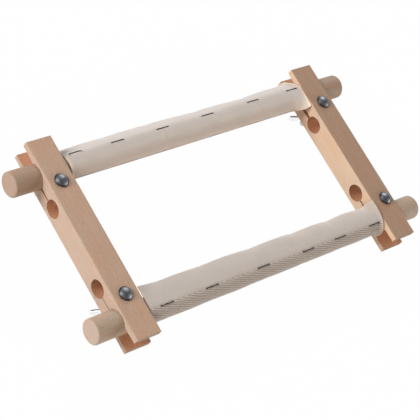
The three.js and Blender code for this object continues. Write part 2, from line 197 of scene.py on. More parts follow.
class Value:
    """A shader socket that adds its Math nodes as it is used in an expression."""

    def __init__(self, finish, socket):
        self.finish = finish
        self.socket = socket

    def maths(self, operation, *others):
        sockets = dict(enumerate((self, *others)))
        return self.finish.node("Math", {"operation": operation}, sockets)["Value"]

    def __add__(self, other):
        return self.maths("ADD", other)

    __radd__ = __add__

    def __sub__(self, other):
        return self.maths("SUBTRACT", other)

    def __rsub__(self, other):
        return (self * -1) + other

    def __mul__(self, other):
        return self.maths("MULTIPLY", other)

    __rmul__ = __mul__

    def __truediv__(self, other):
        return self.maths("DIVIDE", other)

    def __pow__(self, other):
        return self.maths("POWER", other)

    def __abs__(self):
        return self.maths("ABSOLUTE")

    def fraction(self):
        return self.maths("FRACT")

    def wave(self):
        """0 at whole numbers and 1 half way between them."""
        return 0.5 - 0.5 * (self * math.tau).maths("COSINE")

    def least(self, other):
        return self.maths("MINIMUM", other)

    def ramp(self, start, end):
        """Goes smoothly from 0 at start to 1 at end."""
        sockets = {"Value": self, "From Min": start, "From Max": end}
        settings = {"interpolation_type": "SMOOTHSTEP"}
        return self.finish.node("MapRange", settings, sockets)["Result"]


class Finish:
    """A material that is being built."""

    def __init__(self, name, **surface):
        self.material = bpy.data.materials.new(name)
        self.material.use_nodes = True
        self.tree = self.material.node_tree
        self.surface = self.tree.nodes["Principled BSDF"]
        for key, value in surface.items():
            self.surface_socket(key).default_value = value

    def surface_socket(self, name):
        """The surface shader's socket, from its name in small letters joined by underscores."""
        return next(s for s in self.surface.inputs if s.name.lower().replace(" ", "_") == name)

    def node(self, kind, settings=None, sockets=None):
        """Adds a node, sets it up, feeds its sockets and gives its outputs by name."""
        node = self.tree.nodes.new("ShaderNode" + kind)
        for name, value in (settings or {}).items():
            setattr(node, name, value)
        for key, value in (sockets or {}).items():
            self.feed(self.find(node.inputs, key), value)
        return {s.identifier: Value(self, s) for s in node.outputs}

    def find(self, sockets, key):
        if isinstance(key, int):
            return sockets[key]
        return next((s for s in sockets if s.identifier == key), None) or sockets[key]

    def feed(self, socket, value):
        if isinstance(value, Value):
            self.tree.links.new(value.socket, socket)
        else:
            socket.default_value = value

    def object_place(self):
        return self.node("TexCoord")["Object"]

    def parts_of(self, vector):
        outputs = self.node("SeparateXYZ", sockets={"Vector": vector})
        return outputs["X"], outputs["Y"], outputs["Z"]

    def vector(self, x, y, z):
        return self.node("CombineXYZ", sockets={"X": x, "Y": y, "Z": z})["Vector"]

    def noise(self, vector, scale=1.0, detail=2.0, roughness=0.5):
        sockets = {"Vector": vector, "Scale": scale, "Detail": detail, "Roughness": roughness}
        return self.node("TexNoise", sockets=sockets)["Fac"]

    def cells(self, vector):
        return self.node("TexVoronoi", sockets={"Vector": vector, "Scale": 1.0})

    def mixed(self, factor, first, second, blend="MIX"):
        sockets = {"Factor_Float": factor, "A_Color": first, "B_Color": second}
        settings = {"data_type": "RGBA", "blend_type": blend}
        return self.node("Mix", settings, sockets)["Result_Color"]

    def shaded(self, colour, brightness):
        """The colour times a brightness that changes over the surface."""
        sockets = dict.fromkeys(("Red", "Green", "Blue"), brightness)
        grey = self.node("CombineColor", sockets=sockets)
        return self.mixed(1.0, colour, grey["Color"], "MULTIPLY")

    def bump(self, height, distance, strength=1.0):
        sockets = {"Height": height, "Distance": distance, "Strength": strength}
        return self.node("Bump", sockets=sockets)["Normal"]

    def done(self, **results):
        for name, value in results.items():
            self.feed(self.surface_socket(name), value)
        return self.material


def rgba(colour, factor=1.0):
    return (*(c * factor for c in colour), 1.0)


# Finishes

# Patterns in the wood, as repeats in a metre across and along its grain.
DRIFT = (60, 16)
STREAKS = (420, 34)
FIBRES = (2200, 170)
MOTTLE = (150, 34)
RAYS = (1150, 260)
SAW_MARKS = (700, 900)
# What each pattern does to the wood's colour.
WARM_MOTTLE = (1.04, 0.95, 0.91, 1)
COOL_MOTTLE = (0.96, 1.03, 1.06, 1)
LATE_WOOD_TINT = (0.82, 0.70, 0.60, 1)
RAY_TINT = (0.5, 0.38, 0.3, 1)
# What end grain does to it, on the arms with their grain along Y and on the rollers along X.
END_TINT = {"Y": (0.68, 0.77, 0.84), "X": (0.97, 0.94, 0.93)}
# How far the growth rings wander, in rings.
RING_DRIFT = 3.4
WOOD_RELIEF = 0.09 * MM


def beech(name, colour, side_colour, grain, pith, rings, gloss, cut=None):
    """Beech with its grain along X or Y. pith is the heart of the tree, in the two cross directions.

    The side colour is that of the faces that look along X; on the arms it is partly painted light. A cut has
    a redder colour, painted warm bounce light and shade of the recess, and saw marks.
    """
    finish = Finish(name, specular_ior_level=gloss)
    x, y, z = finish.parts_of(finish.object_place())
    along, across = (y, x) if grain == "Y" else (x, y)

    def stretched(cross_scale, long_scale):
        cross, length = across * cross_scale, along * long_scale
        first, second = (cross, length) if grain == "Y" else (length, cross)
        return finish.vector(first, second, z * cross_scale)

    drift = finish.noise(stretched(*DRIFT), detail=3)
    distance = ((across - pith[0]) ** 2 + (z - pith[1]) ** 2) ** 0.5
    year = (distance / rings + drift * RING_DRIFT).fraction()
    late_wood = year.ramp(0.35, 0.96) * (1 - year.ramp(0.965, 1.0))
    streak = finish.noise(stretched(*STREAKS), detail=4, roughness=0.6)
    fibre = finish.noise(stretched(*FIBRES), detail=3, roughness=0.6)
    mottle = finish.noise(stretched(*MOTTLE), detail=3, roughness=0.6)

    ray = finish.cells(stretched(*RAYS))
    kept = finish.parts_of(ray["Color"])[0].ramp(0.5, 0.6)
    fleck = (1 - ray["Distance"].ramp(0.16, 0.3)) * kept
    normal = finish.parts_of(finish.node("TexCoord")["Normal"])
    end_face = abs(normal[1 if grain == "Y" else 0]).ramp(0.7, 0.95)

    # Cut faces take the cut colour: painted warm bounce light and shade of the recess.
    if cut:
        board = rgba(cut)
    else:
        # On the arms the side colour against the top colour is partly painted light: paler sides and darker
        # tops, for how the light falls.
        board = finish.mixed(abs(normal[0]).ramp(0.5, 0.9), rgba(colour), rgba(side_colour))
    wood = finish.mixed(mottle.ramp(0.25, 0.75), WARM_MOTTLE, COOL_MOTTLE)
    wood = finish.mixed(late_wood * 0.2, wood, LATE_WOOD_TINT)
    wood = finish.mixed(fleck * (0.5 - 0.3 * end_face), wood, RAY_TINT)
    wood = finish.mixed(1.0, board, wood, "MULTIPLY")
    end_wood = finish.mixed(1.0, wood, rgba(END_TINT[grain]), "MULTIPLY")
    wood = finish.mixed(end_face, wood, end_wood)
    shade = 0.86 + streak * 0.2 + (fibre - 0.5) * 0.2
    height = streak * 0.5 + fibre * 0.6 - fleck * 0.4 - late_wood * 0.2
    if cut:
        marks = finish.noise(stretched(*SAW_MARKS), detail=2)
        shade = shade * (0.85 + marks * 0.3)
        height = height + marks * 1.4
    return finish.done(
        base_color=finish.shaded(wood, shade),
        roughness=0.56 + fibre * 0.16 + end_face * 0.12,
        normal=finish.bump(height, WOOD_RELIEF, 0.7),
    )


# Painted shade in the twill's hollows.
HOLLOW_SHADE_COLOUR = (0.30, 0.21, 0.14)
SEED_COLOUR = (0.34, 0.24, 0.14)
# Painted shade in the dimples where the staples' legs go in.
LEG_HOLE_SHADE_COLOUR = (0.10, 0.07, 0.05)
FRAYED_AND_LIT_COLOUR = (0.94, 0.80, 0.64)
# The plain woven band along both edges of the tape, where it starts and is full, from the edge.
SELVEDGE = (1.7 * MM, 1.2 * MM)
SELVEDGE_PITCH = 0.7 * MM
# Where the wrapped half's deeper grooves, with their painted shade, end and the free half's begin, from the
# middle.
GROOVE_SHADE_CHANGE = (-2 * MM, 4 * MM)
# The painted light on the wrapped half is brightest as near its edge as this, and gone as near the middle,
# standing in for light thrown up from the floor.
EDGE_LIGHT_BAND = 2 * MM
# Pale bands at the cut ends, partly frayed threads and partly painted light on the cut edges, where they are
# full and where they end, from the cut.
LEFT_FRAY = (0.8 * MM, 3.2 * MM)
RIGHT_FRAY = (0.6 * MM, 2.2 * MM)
# How far the twill's lines wander, in lines.
LINE_WANDER = 0.7
# Length of one float of the twill, as a share of the pitch of its lines.
FLOAT_SHARE = 0.3
CLOTH_RELIEF = 0.3 * MM


def cotton(name, settings, length, lay):
    """Unbleached twill, its lines meeting in a point along the middle. The map is in metres."""
    finish = Finish(
        name, specular_ior_level=0.15, sheen_weight=0.5, sheen_roughness=0.5, diffuse_roughness=1.0)
    along, across, _ = finish.parts_of(finish.node("TexCoord")["UV"])

    def woven(along_scale, across_scale):
        return finish.vector(along * along_scale, across * across_scale, 0.0)

    half = TAPE_WIDTH / 2
    from_middle = abs(across - half)
    free_groove, wrapped_groove = lay["grooves"]
    free_half = across.ramp(half + GROOVE_SHADE_CHANGE[0], half + GROOVE_SHADE_CHANGE[1])
    groove_and_shade = wrapped_groove + (free_groove - wrapped_groove) * free_half
    # Painted bounce light from the floor, brightest at the wrapped half's edge.
    painted_edge_light = 1 + (lay["edge_light"] - 1) * (1 - across.ramp(EDGE_LIGHT_BAND, half - EDGE_LIGHT_BAND))
    left_end = 1 - along.ramp(*LEFT_FRAY)
    right_end = along.ramp(length - RIGHT_FRAY[1], length - RIGHT_FRAY[0])
    leg_shade = finish.node("Attribute", {"attribute_name": "leg_shade"})["Fac"]

    slope, pitch = settings.twill_angle, settings.twill_pitch
    sine, cosine = math.sin(slope), math.cos(slope)
    wander = finish.noise(woven(120, 120), detail=2)
    line = (along * sine - from_middle * cosine) / pitch + wander * LINE_WANDER
    strand = (along * cosine + from_middle * sine) / (pitch * FLOAT_SHARE) + line * 0.5
    selvedge = from_middle.ramp(half - SELVEDGE[0], half - SELVEDGE[1])
    plain_weave = (along / SELVEDGE_PITCH).wave() * selvedge
    relief = (line.wave() * 0.75 + strand.wave() * 0.25) * (1 - selvedge) + plain_weave * 0.8

    slub = finish.noise(woven(260, 1100), detail=3, roughness=0.6)
    cloud = finish.noise(woven(38, 60), detail=2)
    seed = finish.cells(woven(210, 210))
    speck = (1 - seed["Distance"].ramp(0.05, 0.13)) * finish.parts_of(seed["Color"])[0].ramp(0.82, 0.9)
    cloth = finish.mixed(cloud.ramp(0.3, 0.7), rgba(settings.colour), rgba(settings.colour, 0.96))
    # Painted shade in the twill's hollows, as strong as the grooves are deep.
    cloth = finish.mixed((1 - relief) * groove_and_shade * 0.4, cloth, rgba(HOLLOW_SHADE_COLOUR))
    cloth = finish.mixed(speck * 0.4, cloth, rgba(SEED_COLOUR))
    # Painted shade in the dimples where the staples' legs go in.
    cloth = finish.mixed(leg_shade * 0.75, cloth, rgba(LEG_HOLE_SHADE_COLOUR))
    # Pale cut ends: frayed threads, and painted light on the cut edges.
    cloth = finish.mixed((left_end + right_end) * lay["frayed_and_lit"], cloth, rgba(FRAYED_AND_LIT_COLOUR))
    # Painted highlight on the twill's ridges, and more painted shade in its hollows.
    painted_ridge_light = (relief - 0.42) * groove_and_shade * 0.55
    return finish.done(
        base_color=finish.shaded(cloth, painted_edge_light * 0.96 + painted_ridge_light + (slub - 0.5) * 0.14),
        roughness=0.84 + slub * 0.12,
        normal=finish.bump(relief * (0.15 + groove_and_shade) + slub * 0.2, CLOTH_RELIEF, 0.9),
    )


# Where painted shade darkens a bolt head's rim, for its dark reflections and contact shadow, from its axis at
# 0 to its edge at 1.
RIM_SHADE_BAND = (0.72, 0.97)
# Marks on the plating, as repeats in a metre.
BLOOM = 420
PLATE_GRAIN = 2600
SCRATCHES = (3800, 500, 500)
PITS = 900
ZINC_RELIEF = 0.02 * MM


def zinc(name, colour, roughness, rim_shade=0.0):
    """Dull plating with a faint cloudy bloom, small scratches and darker pits. A head's rim can take painted
    shade, for its dark reflections and contact shadow.
    """
    finish = Finish(name, metallic=1.0)
    place = finish.object_place()
    axes = finish.parts_of(place)
    bloom = finish.noise(place, BLOOM, detail=3)
    grain = finish.noise(place, PLATE_GRAIN, detail=2)
    scratch = finish.noise(finish.vector(*(a * scale for a, scale in zip(axes, SCRATCHES))), detail=2)
    pit = 1 - finish.cells(finish.vector(*(a * PITS for a in axes)))["Distance"].ramp(0.05, 0.16)
    shade = 0.78 + bloom * 0.34 + (grain - 0.5) * 0.2 - pit * 0.35
    # Painted shade on the head's rim, for its dark reflections and contact shadow.
    if rim_shade:
        rim = finish.node("Attribute", {"attribute_name": "rim"})["Fac"]
        shade = shade * (1 - rim.ramp(*RIM_SHADE_BAND) * rim_shade)
    return finish.done(
        base_color=finish.shaded(rgba(colour), shade),
        roughness=roughness - 0.1 + bloom * 0.16 + scratch * 0.1,
        normal=finish.bump(scratch * 0.5 + grain * 0.3 - pit, ZINC_RELIEF, 0.6),
    )


# Meshes

def new_piece(name, shape, materials, body, node):
    """Turns a bmesh into a piece that rides on a body and stands for a CAD node."""
    mesh = bpy.data.meshes.new(name)
    shape.to_mesh(mesh)
    shape.free()
    for material in materials:
        mesh.materials.append(material)
    piece = bpy.data.objects.new(name, mesh)
    bpy.context.scene.collection.objects.link(piece)
    mesh.shade_smooth()
    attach(piece, body)
    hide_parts(node)
    return piece


def shade_edges(piece, angle):
    """Smooth faces with crisp edges where they meet at more than the angle."""
    piece.data.set_sharp_from_angle(angle=math.radians(angle))


def turned(profile, steps, axis="Z"):
    """Solid of revolution from (radius, height) points.

    The points start and end on the axis, or close on themselves. Axis X lays the solid down.
    """
    shape = bmesh.new()
    verts = [shape.verts.new((radius, 0, height)) for radius, height in profile]
    edges = [shape.edges.new(pair) for pair in zip(verts, verts[1:])]
    if profile[0][0] > 0:
        edges.append(shape.edges.new((verts[-1], verts[0])))
    bmesh.ops.spin(
        shape, geom=verts + edges, cent=(0, 0, 0), axis=(0, 0, 1), angle=math.tau, steps=steps,
        use_merge=True, use_duplicate=False)
    bmesh.ops.remove_doubles(shape, verts=shape.verts, dist=0.001 * MM)
    bmesh.ops.recalc_face_normals(shape, faces=shape.faces)
    if axis == "X":
        lay_down = Matrix.Rotation(math.pi / 2, 3, "Y")
        bmesh.ops.rotate(shape, verts=shape.verts, cent=(0, 0, 0), matrix=lay_down)
    return shape


def rounded_corner(corner, radius, start, end, steps=4):
    """Points of a round at a corner, with its angles in degrees."""
    angles = [math.radians(start + (end - start) * i / steps) for i in range(steps + 1)]
    return [(corner[0] + radius * math.cos(a), corner[1] + radius * math.sin(a)) for a in angles]


def bevelled(shape, edges, offset):
    bmesh.ops.bevel(
        shape, geom=edges, offset=offset, offset_type="OFFSET", segments=2, profile=0.5,
        affect="EDGES", clamp_overlap=True, material=-1)


def sharp_edges(shape, angle):
    limit = math.radians(angle)
    return [e for e in shape.edges if len(e.link_faces) == 2 and e.calc_face_angle() > limit]


def merged_copy(node):
    """A CAD node's mesh with its doubles merged and its flat faces whole."""
    shape = bmesh.new()
    shape.from_mesh(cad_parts[node].data)
    bmesh.ops.remove_doubles(shape, verts=shape.verts, dist=0.002 * MM)
    bmesh.ops.dissolve_limit(
        shape, angle_limit=math.radians(0.5), use_dissolve_boundaries=False,
        verts=shape.verts, edges=shape.edges)
    return shape


def moved(shape, matrix):
    bmesh.ops.transform(shape, matrix=matrix, verts=shape.verts)
    return shape


def plate(outline, thickness):
    """Flat plate from its outline in the XZ plane, its thickness centred on that plane."""
    shape = bmesh.new()
    face = shape.faces.new([shape.verts.new((x, -thickness / 2, z)) for x, z in outline])
    grown = bmesh.ops.extrude_face_region(shape, geom=[face])["geom"]
    far_side = [v for v in grown if isinstance(v, bmesh.types.BMVert)]
    bmesh.ops.translate(shape, verts=far_side, vec=(0, thickness, 0))
    bmesh.ops.recalc_face_normals(shape, faces=shape.faces)
    return shape


def join_shape(shape, other):
    """Adds another bmesh's geometry to this one."""
    mesh = bpy.data.meshes.new("joining")
    other.to_mesh(mesh)
    other.free()
    shape.from_mesh(mesh)
    bpy.data.meshes.remove(mesh)


# Side arms

# Round of the arms' long edges in the frame.
ARM_ROUND = 1.9 * MM
# A face whose middle lies deeper than this under the arm's skin belongs to a cut.
SKIN = 0.45 * MM
ARM_PITH = (0.03, -0.16)


def skin_depth(point, centre, half):
    """How deep a point lies under the arm's outer surface, as if it had no cuts."""
    x = abs(point.x - centre.x) - (half.x - ARM_ROUND)
    z = abs(point.z - centre.z) - (half.z - ARM_ROUND)
    outside = Vector((max(x, 0), max(z, 0))).length
    section = ARM_ROUND - outside - min(max(x, z), 0)
    return min(section, half.y - abs(point.y - centre.y))


def make_arm(side, top_colour, side_colour, wood):
    node = f"arm_{side}"
    shape = merged_copy(node)
    bevelled(shape, sharp_edges(shape, 30), wood.edge_ease)
    centre, half = box_centre(node), box_size(node) / 2
    for face in shape.faces:
        face.material_index = int(skin_depth(face.calc_center_median(), centre, half) > SKIN)
    look = (top_colour, side_colour, "Y", ARM_PITH, wood.ring_spacing)
    skin = beech(f"beech_{side}_arm", *look, gloss=0.4)
    cut = beech(f"beech_{side}_arm_cuts", *look, gloss=0.3, cut=wood.cut_colour)
    arm = new_piece(f"side_arm_{side}", shape, (skin, cut), node, node)
    shade_edges(arm, 60)
    weighted = arm.modifiers.new("Flat faces stay flat", "WEIGHTED_NORMAL")
    weighted.keep_sharp = True
    weighted.weight = 100


class FRAME_OT_side_arms(bpy.types.Operator):
    """Ease the edges of both side arms and give them their beech"""
    bl_idname = "embroidery_frame.side_arms"
    bl_label = "Side Arms"

    def execute(self, context):
        wood = context.scene.frame_wood
        make_arm("left", wood.left_top, wood.left_side, wood)
        make_arm("right", wood.right_top, wood.right_side, wood)
        return {"FINISHED"}


# Rollers

ROLLER_STEPS = 128
ROLLER_EASE = 2.2 * MM
ROLLER_PITH = (0.02, -0.03)
# The rollers' rings against the arms', and their end grain against their sides.
ROLLER_RINGS = 0.9
END_PALER = (1.05, 1.15, 1.3)


def make_roller(end, colour, wood):
    node = f"roller_{end}"
    centre, size = box_centre(node), box_size(node)
    radius, half = size.z / 2, size.x / 2
    far = rounded_corner((radius - ROLLER_EASE, half - ROLLER_EASE), ROLLER_EASE, 0, 90, 8)
    near = [(r, -h) for r, h in reversed(far)]
    shape = turned([(0, -half), *near, *far, (0, half)], ROLLER_STEPS, "X")
    moved(shape, Matrix.Translation(centre))
    end_colour = [c * paler for c, paler in zip(colour, END_PALER)]
    rings = wood.ring_spacing * ROLLER_RINGS
    finish = beech(f"beech_{end}_roller", colour, end_colour, "X", ROLLER_PITH, rings, gloss=0.7)
    roller = new_piece(f"dowel_{end}", shape, (finish,), node, node)
    shade_edges(roller, 60)


class FRAME_OT_rollers(bpy.types.Operator):
    """Turn both rollers with softly rounded ends"""
    bl_idname = "embroidery_frame.rollers"
    bl_label = "Rollers"

    def execute(self, context):
        wood = context.scene.frame_wood
        make_roller("front", wood.roller_front, wood)
        make_roller("back", wood.roller_back, wood)
        return {"FINISHED"}


# Tapes

# Between the roller and the cloth.
TAPE_GAP = 0.25 * MM
# How far from its middle the staples hold each half down on the roller.
FREE_HELD = 4 * MM
WRAPPED_HELD = 6 * MM
PUCKER_REACH = 15 * MM
PUCKER_DEPTH = 0.16
WRAP_LIFT = 0.6 * MM
CREASE_HEIGHT = 0.34 * MM
# Creases start this far from the staple, are full here, and fade by these distances along and across.
CREASE_START = 0.5 * MM
CREASE_FULL = 5 * MM
CREASE_ALONG = 13 * MM
CREASE_ACROSS = 22 * MM
# Folds for a full turn round a staple's end.
CREASE_FOLDS = 7
# Slow and quick ripples, the slow ones as repeats in a metre along and across the tape.
RIPPLE_HEIGHTS = (0.3 * MM, 0.1 * MM)
RIPPLES = (34, 55)
QUICKER = 2.7
# How far from the held part the free half is fully slack, and how soon the wrapped half is.
SLACK_REACH = 8 * MM
WRAPPED_SLACK = 2.2
# How far the painted shade spreads round a staple's leg, along and across the tape.
LEG_SHADE_REACH = (1.3 * MM, 0.9 * MM)
# The scene's tapes stop this short of their solids, to clear the right arm at the end of its slide.
END_SHY = 0.15 * MM
LIP_WIDTH = 5 * MM
TAPE_CELLS_ALONG = 420
TAPE_CELLS_ACROSS = 72

# How each tape lies.
# middle: its middle's angle round the roller, from the back over the top, at the left and the right end.
# bend: how far the free half turns as it leaves the roller, at even steps from left to right.
# cut_back: how much further right the left cut is at the wrapped half's edge than in the middle.
# left, right: how the cloth springs open near that cut end, as its reach, the shares of bend that the
# free and the wrapped half lose, and the lift of the end.
# early: how much sooner the tape starts than its plain solid.
# grooves: how deep the twill's hollows are on the free and the wrapped half, which also sets their painted
# shade and the painted highlight on the ridges.
# edge_light: how bright the painted bounce light makes the wrapped half's edge, against the cotton at the
# staples.
# frayed_and_lit: how pale the cut ends are, from frayed threads and painted light on the cut edges.
# seed: where its ripples start.
TAPE_LAY = {
    "front": {
        "middle": (108, 119),
        "bend": (24, 29, 37, 45, 52, 57),
        "cut_back": 1.5 * MM,
        "left": (32 * MM, 0.85, 0.0, 0.0),
        "right": (12 * MM, 0.65, 0.0, 2.6 * MM),
        "early": 0.0,
        "grooves": (0.04, 0.75),
        "edge_light": 1.0,
        "frayed_and_lit": 0.3,
        "seed": 7.0,
    },
    "back": {
        "middle": (60, 65),
        "bend": (13, 11, 12, 20, 25, 15),
        "cut_back": 2 * MM,
        "left": (12 * MM, 0.0, 0.0, 0.0),
        "right": (28 * MM, 0.0, 0.85, 1.6 * MM),
        "early": 2.6 * MM,
        "grooves": (0.03, 0.07),
        "edge_light": 1.32,
        "frayed_and_lit": 0.85,
        "seed": 31.0,
    },
}


def between(pair, share):
    return pair[0] + (pair[1] - pair[0]) * share


def value_at(values, share):
    """Value at a share of the way through an evenly spaced list."""
    place = min(max(share, 0.0), 1.0) * (len(values) - 1)
    step = min(int(place), len(values) - 2)
    return between(values[step:step + 2], place - step)


def outward(angle):
    """Direction in the YZ plane, from +Y over the top."""
    return Vector((0, math.cos(angle), math.sin(angle)))


class LaidTape:
    """The shape of one tape on its roller."""

    def __init__(self, end, settings):
        low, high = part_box(f"tape_{end}")
        self.lay = TAPE_LAY[end]
        self.start = low.x - self.lay["early"]
        self.length = high.x - END_SHY - self.start
        self.axis = box_centre(f"roller_{end}")
        self.radius = box_size(f"roller_{end}").z / 2 + TAPE_GAP + settings.thickness / 2
        names = [f"staple_{end}_{i + 1}" for i in range(STAPLES_EACH)]
        self.staples = [staple_seat(name, self.axis) for name in names]
        self.seed = Vector((0, 0, self.lay["seed"]))

    def hold(self, x):
        """How firmly the staples hold the tape down at x, from 0 to 1."""
        pulls = [math.exp(-(((x - place) / PUCKER_REACH) ** 2)) for place, _ in self.staples]
        return min(1.0, sum(pulls))

    def spring(self, x):
        """Shares of bend lost by the free and the wrapped half at x, and the lift of a cut end."""
        free = wrapped = lift = 0.0
        for side, distance in (("left", x - self.start), ("right", self.start + self.length - x)):
            reach, free_share, wrapped_share, rise = self.lay[side]
            opened = max(0.0, 1 - distance / reach) ** 2
            free += free_share * opened
            wrapped += wrapped_share * opened
            lift += rise * max(0.0, 1 - distance / LIP_WIDTH) ** 1.5
        return free, wrapped, lift

    def leg_shade(self, x, offset):
        """How near a point is to where a staple's leg goes in, from 0 to 1, which sets the painted shade
        there.
        """
        nearest = min(abs(abs(x - place) - (STAPLE_CROWN - STAPLE_WIRE) / 2) for place, _ in self.staples)
        return math.exp(-((nearest / LEG_SHADE_REACH[0]) ** 2) - ((offset / LEG_SHADE_REACH[1]) ** 2))

    def creases(self, x, offset):
        """Small folds that fan out from the ends of each staple."""
        height = 0.0
        for place, _ in self.staples:
            dx, reach = x - place, abs(offset)
            if reach < CREASE_START or abs(dx) > 2 * CREASE_ALONG:
                continue
            fade = math.exp(-((dx / CREASE_ALONG) ** 2) - reach / CREASE_ACROSS) * min(1, reach / CREASE_FULL)
            phase = self.seed.z + place * 90
            height += CREASE_HEIGHT * fade * math.cos(math.atan2(dx, reach) * CREASE_FOLDS + phase)
        return height

    def ripple(self, x, offset):
        """Slack that runs along the tape."""
        point = Vector((x * RIPPLES[0], offset * RIPPLES[1], 0)) + self.seed
        slow, quick = RIPPLE_HEIGHTS
        return noise.noise(point) * slow + noise.noise(point * QUICKER) * quick

    def point(self, along, offset):
        """Where the cloth lies, from its share along the tape and its distance from the middle."""
        x = self.start + along * self.length
        hold = self.hold(x)
        free, wrapped_open, rise = self.spring(x)
        base = self.radius + rise
        held = min(max(offset, -WRAPPED_HELD), FREE_HELD)
        leaving = math.radians(between(self.lay["middle"], along)) - held / base
        wrapped = max(0.0, -offset) / (TAPE_WIDTH / 2)
        if offset > 0:
            bend = math.radians(value_at(self.lay["bend"], along)) * (1 - free)
            curl = (TAPE_WIDTH / 2 - FREE_HELD) / bend * (1 - PUCKER_DEPTH * hold)
            angle = leaving - (offset - held) / curl
            loose = min(1.0, max(0.0, offset - FREE_HELD) / SLACK_REACH)
            lift = (self.creases(x, offset) + self.ripple(x, offset)) * loose
        else:
            curl = base / (1 - wrapped_open)
            angle = leaving + (held - offset) / curl
            loose = min(1.0, wrapped * WRAPPED_SLACK)
            lift = WRAP_LIFT * (1 - hold) * wrapped ** 2
            lift += max(0.0, self.creases(x, offset) + self.ripple(x, offset) * loose)
        spot = outward(leaving) * (base - curl) + outward(angle) * (curl + lift)
        spot.x = x + self.lay["cut_back"] * wrapped * (1 - along)
        return Vector((spot.x, self.axis.y + spot.y, self.axis.z + spot.z))


def tape_mesh(tape):
    """A fine grid laid on the roller, with its map in metres."""
    shape = bmesh.new()
    bmesh.ops.create_grid(shape, x_segments=TAPE_CELLS_ALONG, y_segments=TAPE_CELLS_ACROSS, size=0.5)
    uv = shape.loops.layers.uv.new("cloth")
    for face in shape.faces:
        for loop in face.loops:
            flat = loop.vert.co
            loop[uv].uv = ((flat.x + 0.5) * tape.length, (flat.y + 0.5) * TAPE_WIDTH)
    # Painted shade round the staples' legs, kept on each point.
    leg_shade = shape.verts.layers.float.new("leg_shade")
    for vert in shape.verts:
        along, offset = vert.co.x + 0.5, vert.co.y * TAPE_WIDTH
        vert[leg_shade] = tape.leg_shade(tape.start + along * tape.length, offset)
        vert.co = tape.point(along, offset)
    bmesh.ops.recalc_face_normals(shape, faces=shape.faces)
    return shape


def make_tape(end, settings):
    node = f"tape_{end}"
    tape = LaidTape(end, settings)
    finish = cotton(f"cotton_{end}", settings, tape.length, tape.lay)
    piece = new_piece(f"twill_tape_{end}", tape_mesh(tape), (finish,), f"roller_{end}", node)
    solid = piece.modifiers.new("Cloth thickness", "SOLIDIFY")
    solid.thickness = settings.thickness
    solid.offset = 0
    TAPE_WIDTH * tape.length - tape.lay["cut_back"] * TAPE_WIDTH / 4


class FRAME_OT_tapes(bpy.types.Operator):
    """Lay a cotton tape on each roller"""
    bl_idname = "embroidery_frame.tapes"
    bl_label = "Tapes"

    def execute(self, context):
        for end in ENDS:
            make_tape(end, context.scene.frame_tape)
        return {"FINISHED"}


# Staples

STAPLE_EASE = 0.14 * MM


def staple_shape():
    """Crown and two legs in the XZ plane, the crown's underside at z = 0."""
    half, wire = STAPLE_CROWN / 2, STAPLE_WIRE
    inner = half - wire
    right_corner = rounded_corner((inner, 0), wire, 0, 90)
    right_leg = [(inner, 0), (inner, -STAPLE_LEG), (half, -STAPLE_LEG)]
    left_corner, left_leg = ([(-x, z) for x, z in reversed(points)] for points in (right_corner, right_leg))
    shape = plate([*right_corner, *left_corner, *left_leg, *right_leg], wire)
    bevelled(shape, sharp_edges(shape, 60), STAPLE_EASE)
    return shape


def make_staple(end, number, finish):
    node = f"staple_{end}_{number}"
    axis = box_centre(f"roller_{end}")
    x, angle = staple_seat(node, axis)
    seat = max((point - axis).yz.length for point in points_of(node)) - STAPLE_WIRE
    turn = Matrix.Translation((x, axis.y, axis.z)) @ Matrix.Rotation(angle - math.pi / 2, 4, "X")
    shape = moved(staple_shape(), turn @ Matrix.Translation((0, 0, seat)))
    piece = new_piece(f"wire_{node}", shape, (finish,), f"roller_{end}", node)
    shade_edges(piece, 40)


class FRAME_OT_staples(bpy.types.Operator):
    """Drive the staples along the middle of each tape"""
    bl_idname = "embroidery_frame.staples"
    bl_label = "Staples"

    def execute(self, context):
        finish = zinc("staple_wire", context.scene.frame_steel.staple_colour, 0.4)
        for end in ENDS:
            for number in range(1, STAPLES_EACH + 1):
                make_staple(end, number, finish)
        return {"FINISHED"}


# Bolts, washers and wing nuts

BOLT_STEPS = 64
DOME_STEPS = 14
SHANK_RADIUS = 3 * MM
HEAD_HEIGHT = 4.2 * MM
HEAD_RIM = 0.8 * MM
HEAD_EASE = 0.25 * MM
NECK_WIDTH = 6.2 * MM
NECK_DEPTH = 4 * MM
NECK_EASE = 0.3 * MM
THREAD_LENGTH = 18 * MM
THREAD_STEPS = 36
# Depth of the thread and width of half its crest, as shares of its pitch.
THREAD_DEPTH = 0.61
THREAD_CREST = 1 / 16
THREAD_TIP = 0.8 * MM
# How much thinner the plain shank is than the thread.
SHANK_SLACK = 0.3 * MM
# A leaning bolt goes towards the front by this share of the height above the arm's underside. Below
# it the bolt is upright, so its washer and nut run free.
LEAN = {"right_front": 0.055}


def head_shape(radius, base):
    """Domed head with a rounded rim, closed underneath, its underside at base."""
    edge, top, ease = base + HEAD_RIM, base + HEAD_HEIGHT, HEAD_EASE
    dome = HEAD_HEIGHT - HEAD_RIM
    sphere = (radius ** 2 + dome ** 2) / (2 * dome)
    reach = math.asin(radius / sphere)
    rim_points = [(radius - ease, base), (radius, base + ease), (radius, edge - ease)]
    rim_points.append((radius - ease * 0.4, edge + ease * 0.3))
    angles = [reach * (1 - i / DOME_STEPS) for i in range(1, DOME_STEPS)]
    dome_points = [(sphere * math.sin(a), top - sphere * (1 - math.cos(a))) for a in angles]
    shape = turned([(0, base), *rim_points, *dome_points, (0, top)], BOLT_STEPS)
    # How far out each point lies, which places the painted shade on the rim.
    rim = shape.verts.layers.float.new("rim")
    for vert in shape.verts:
        vert[rim] = vert.co.xy.length / radius
    return shape


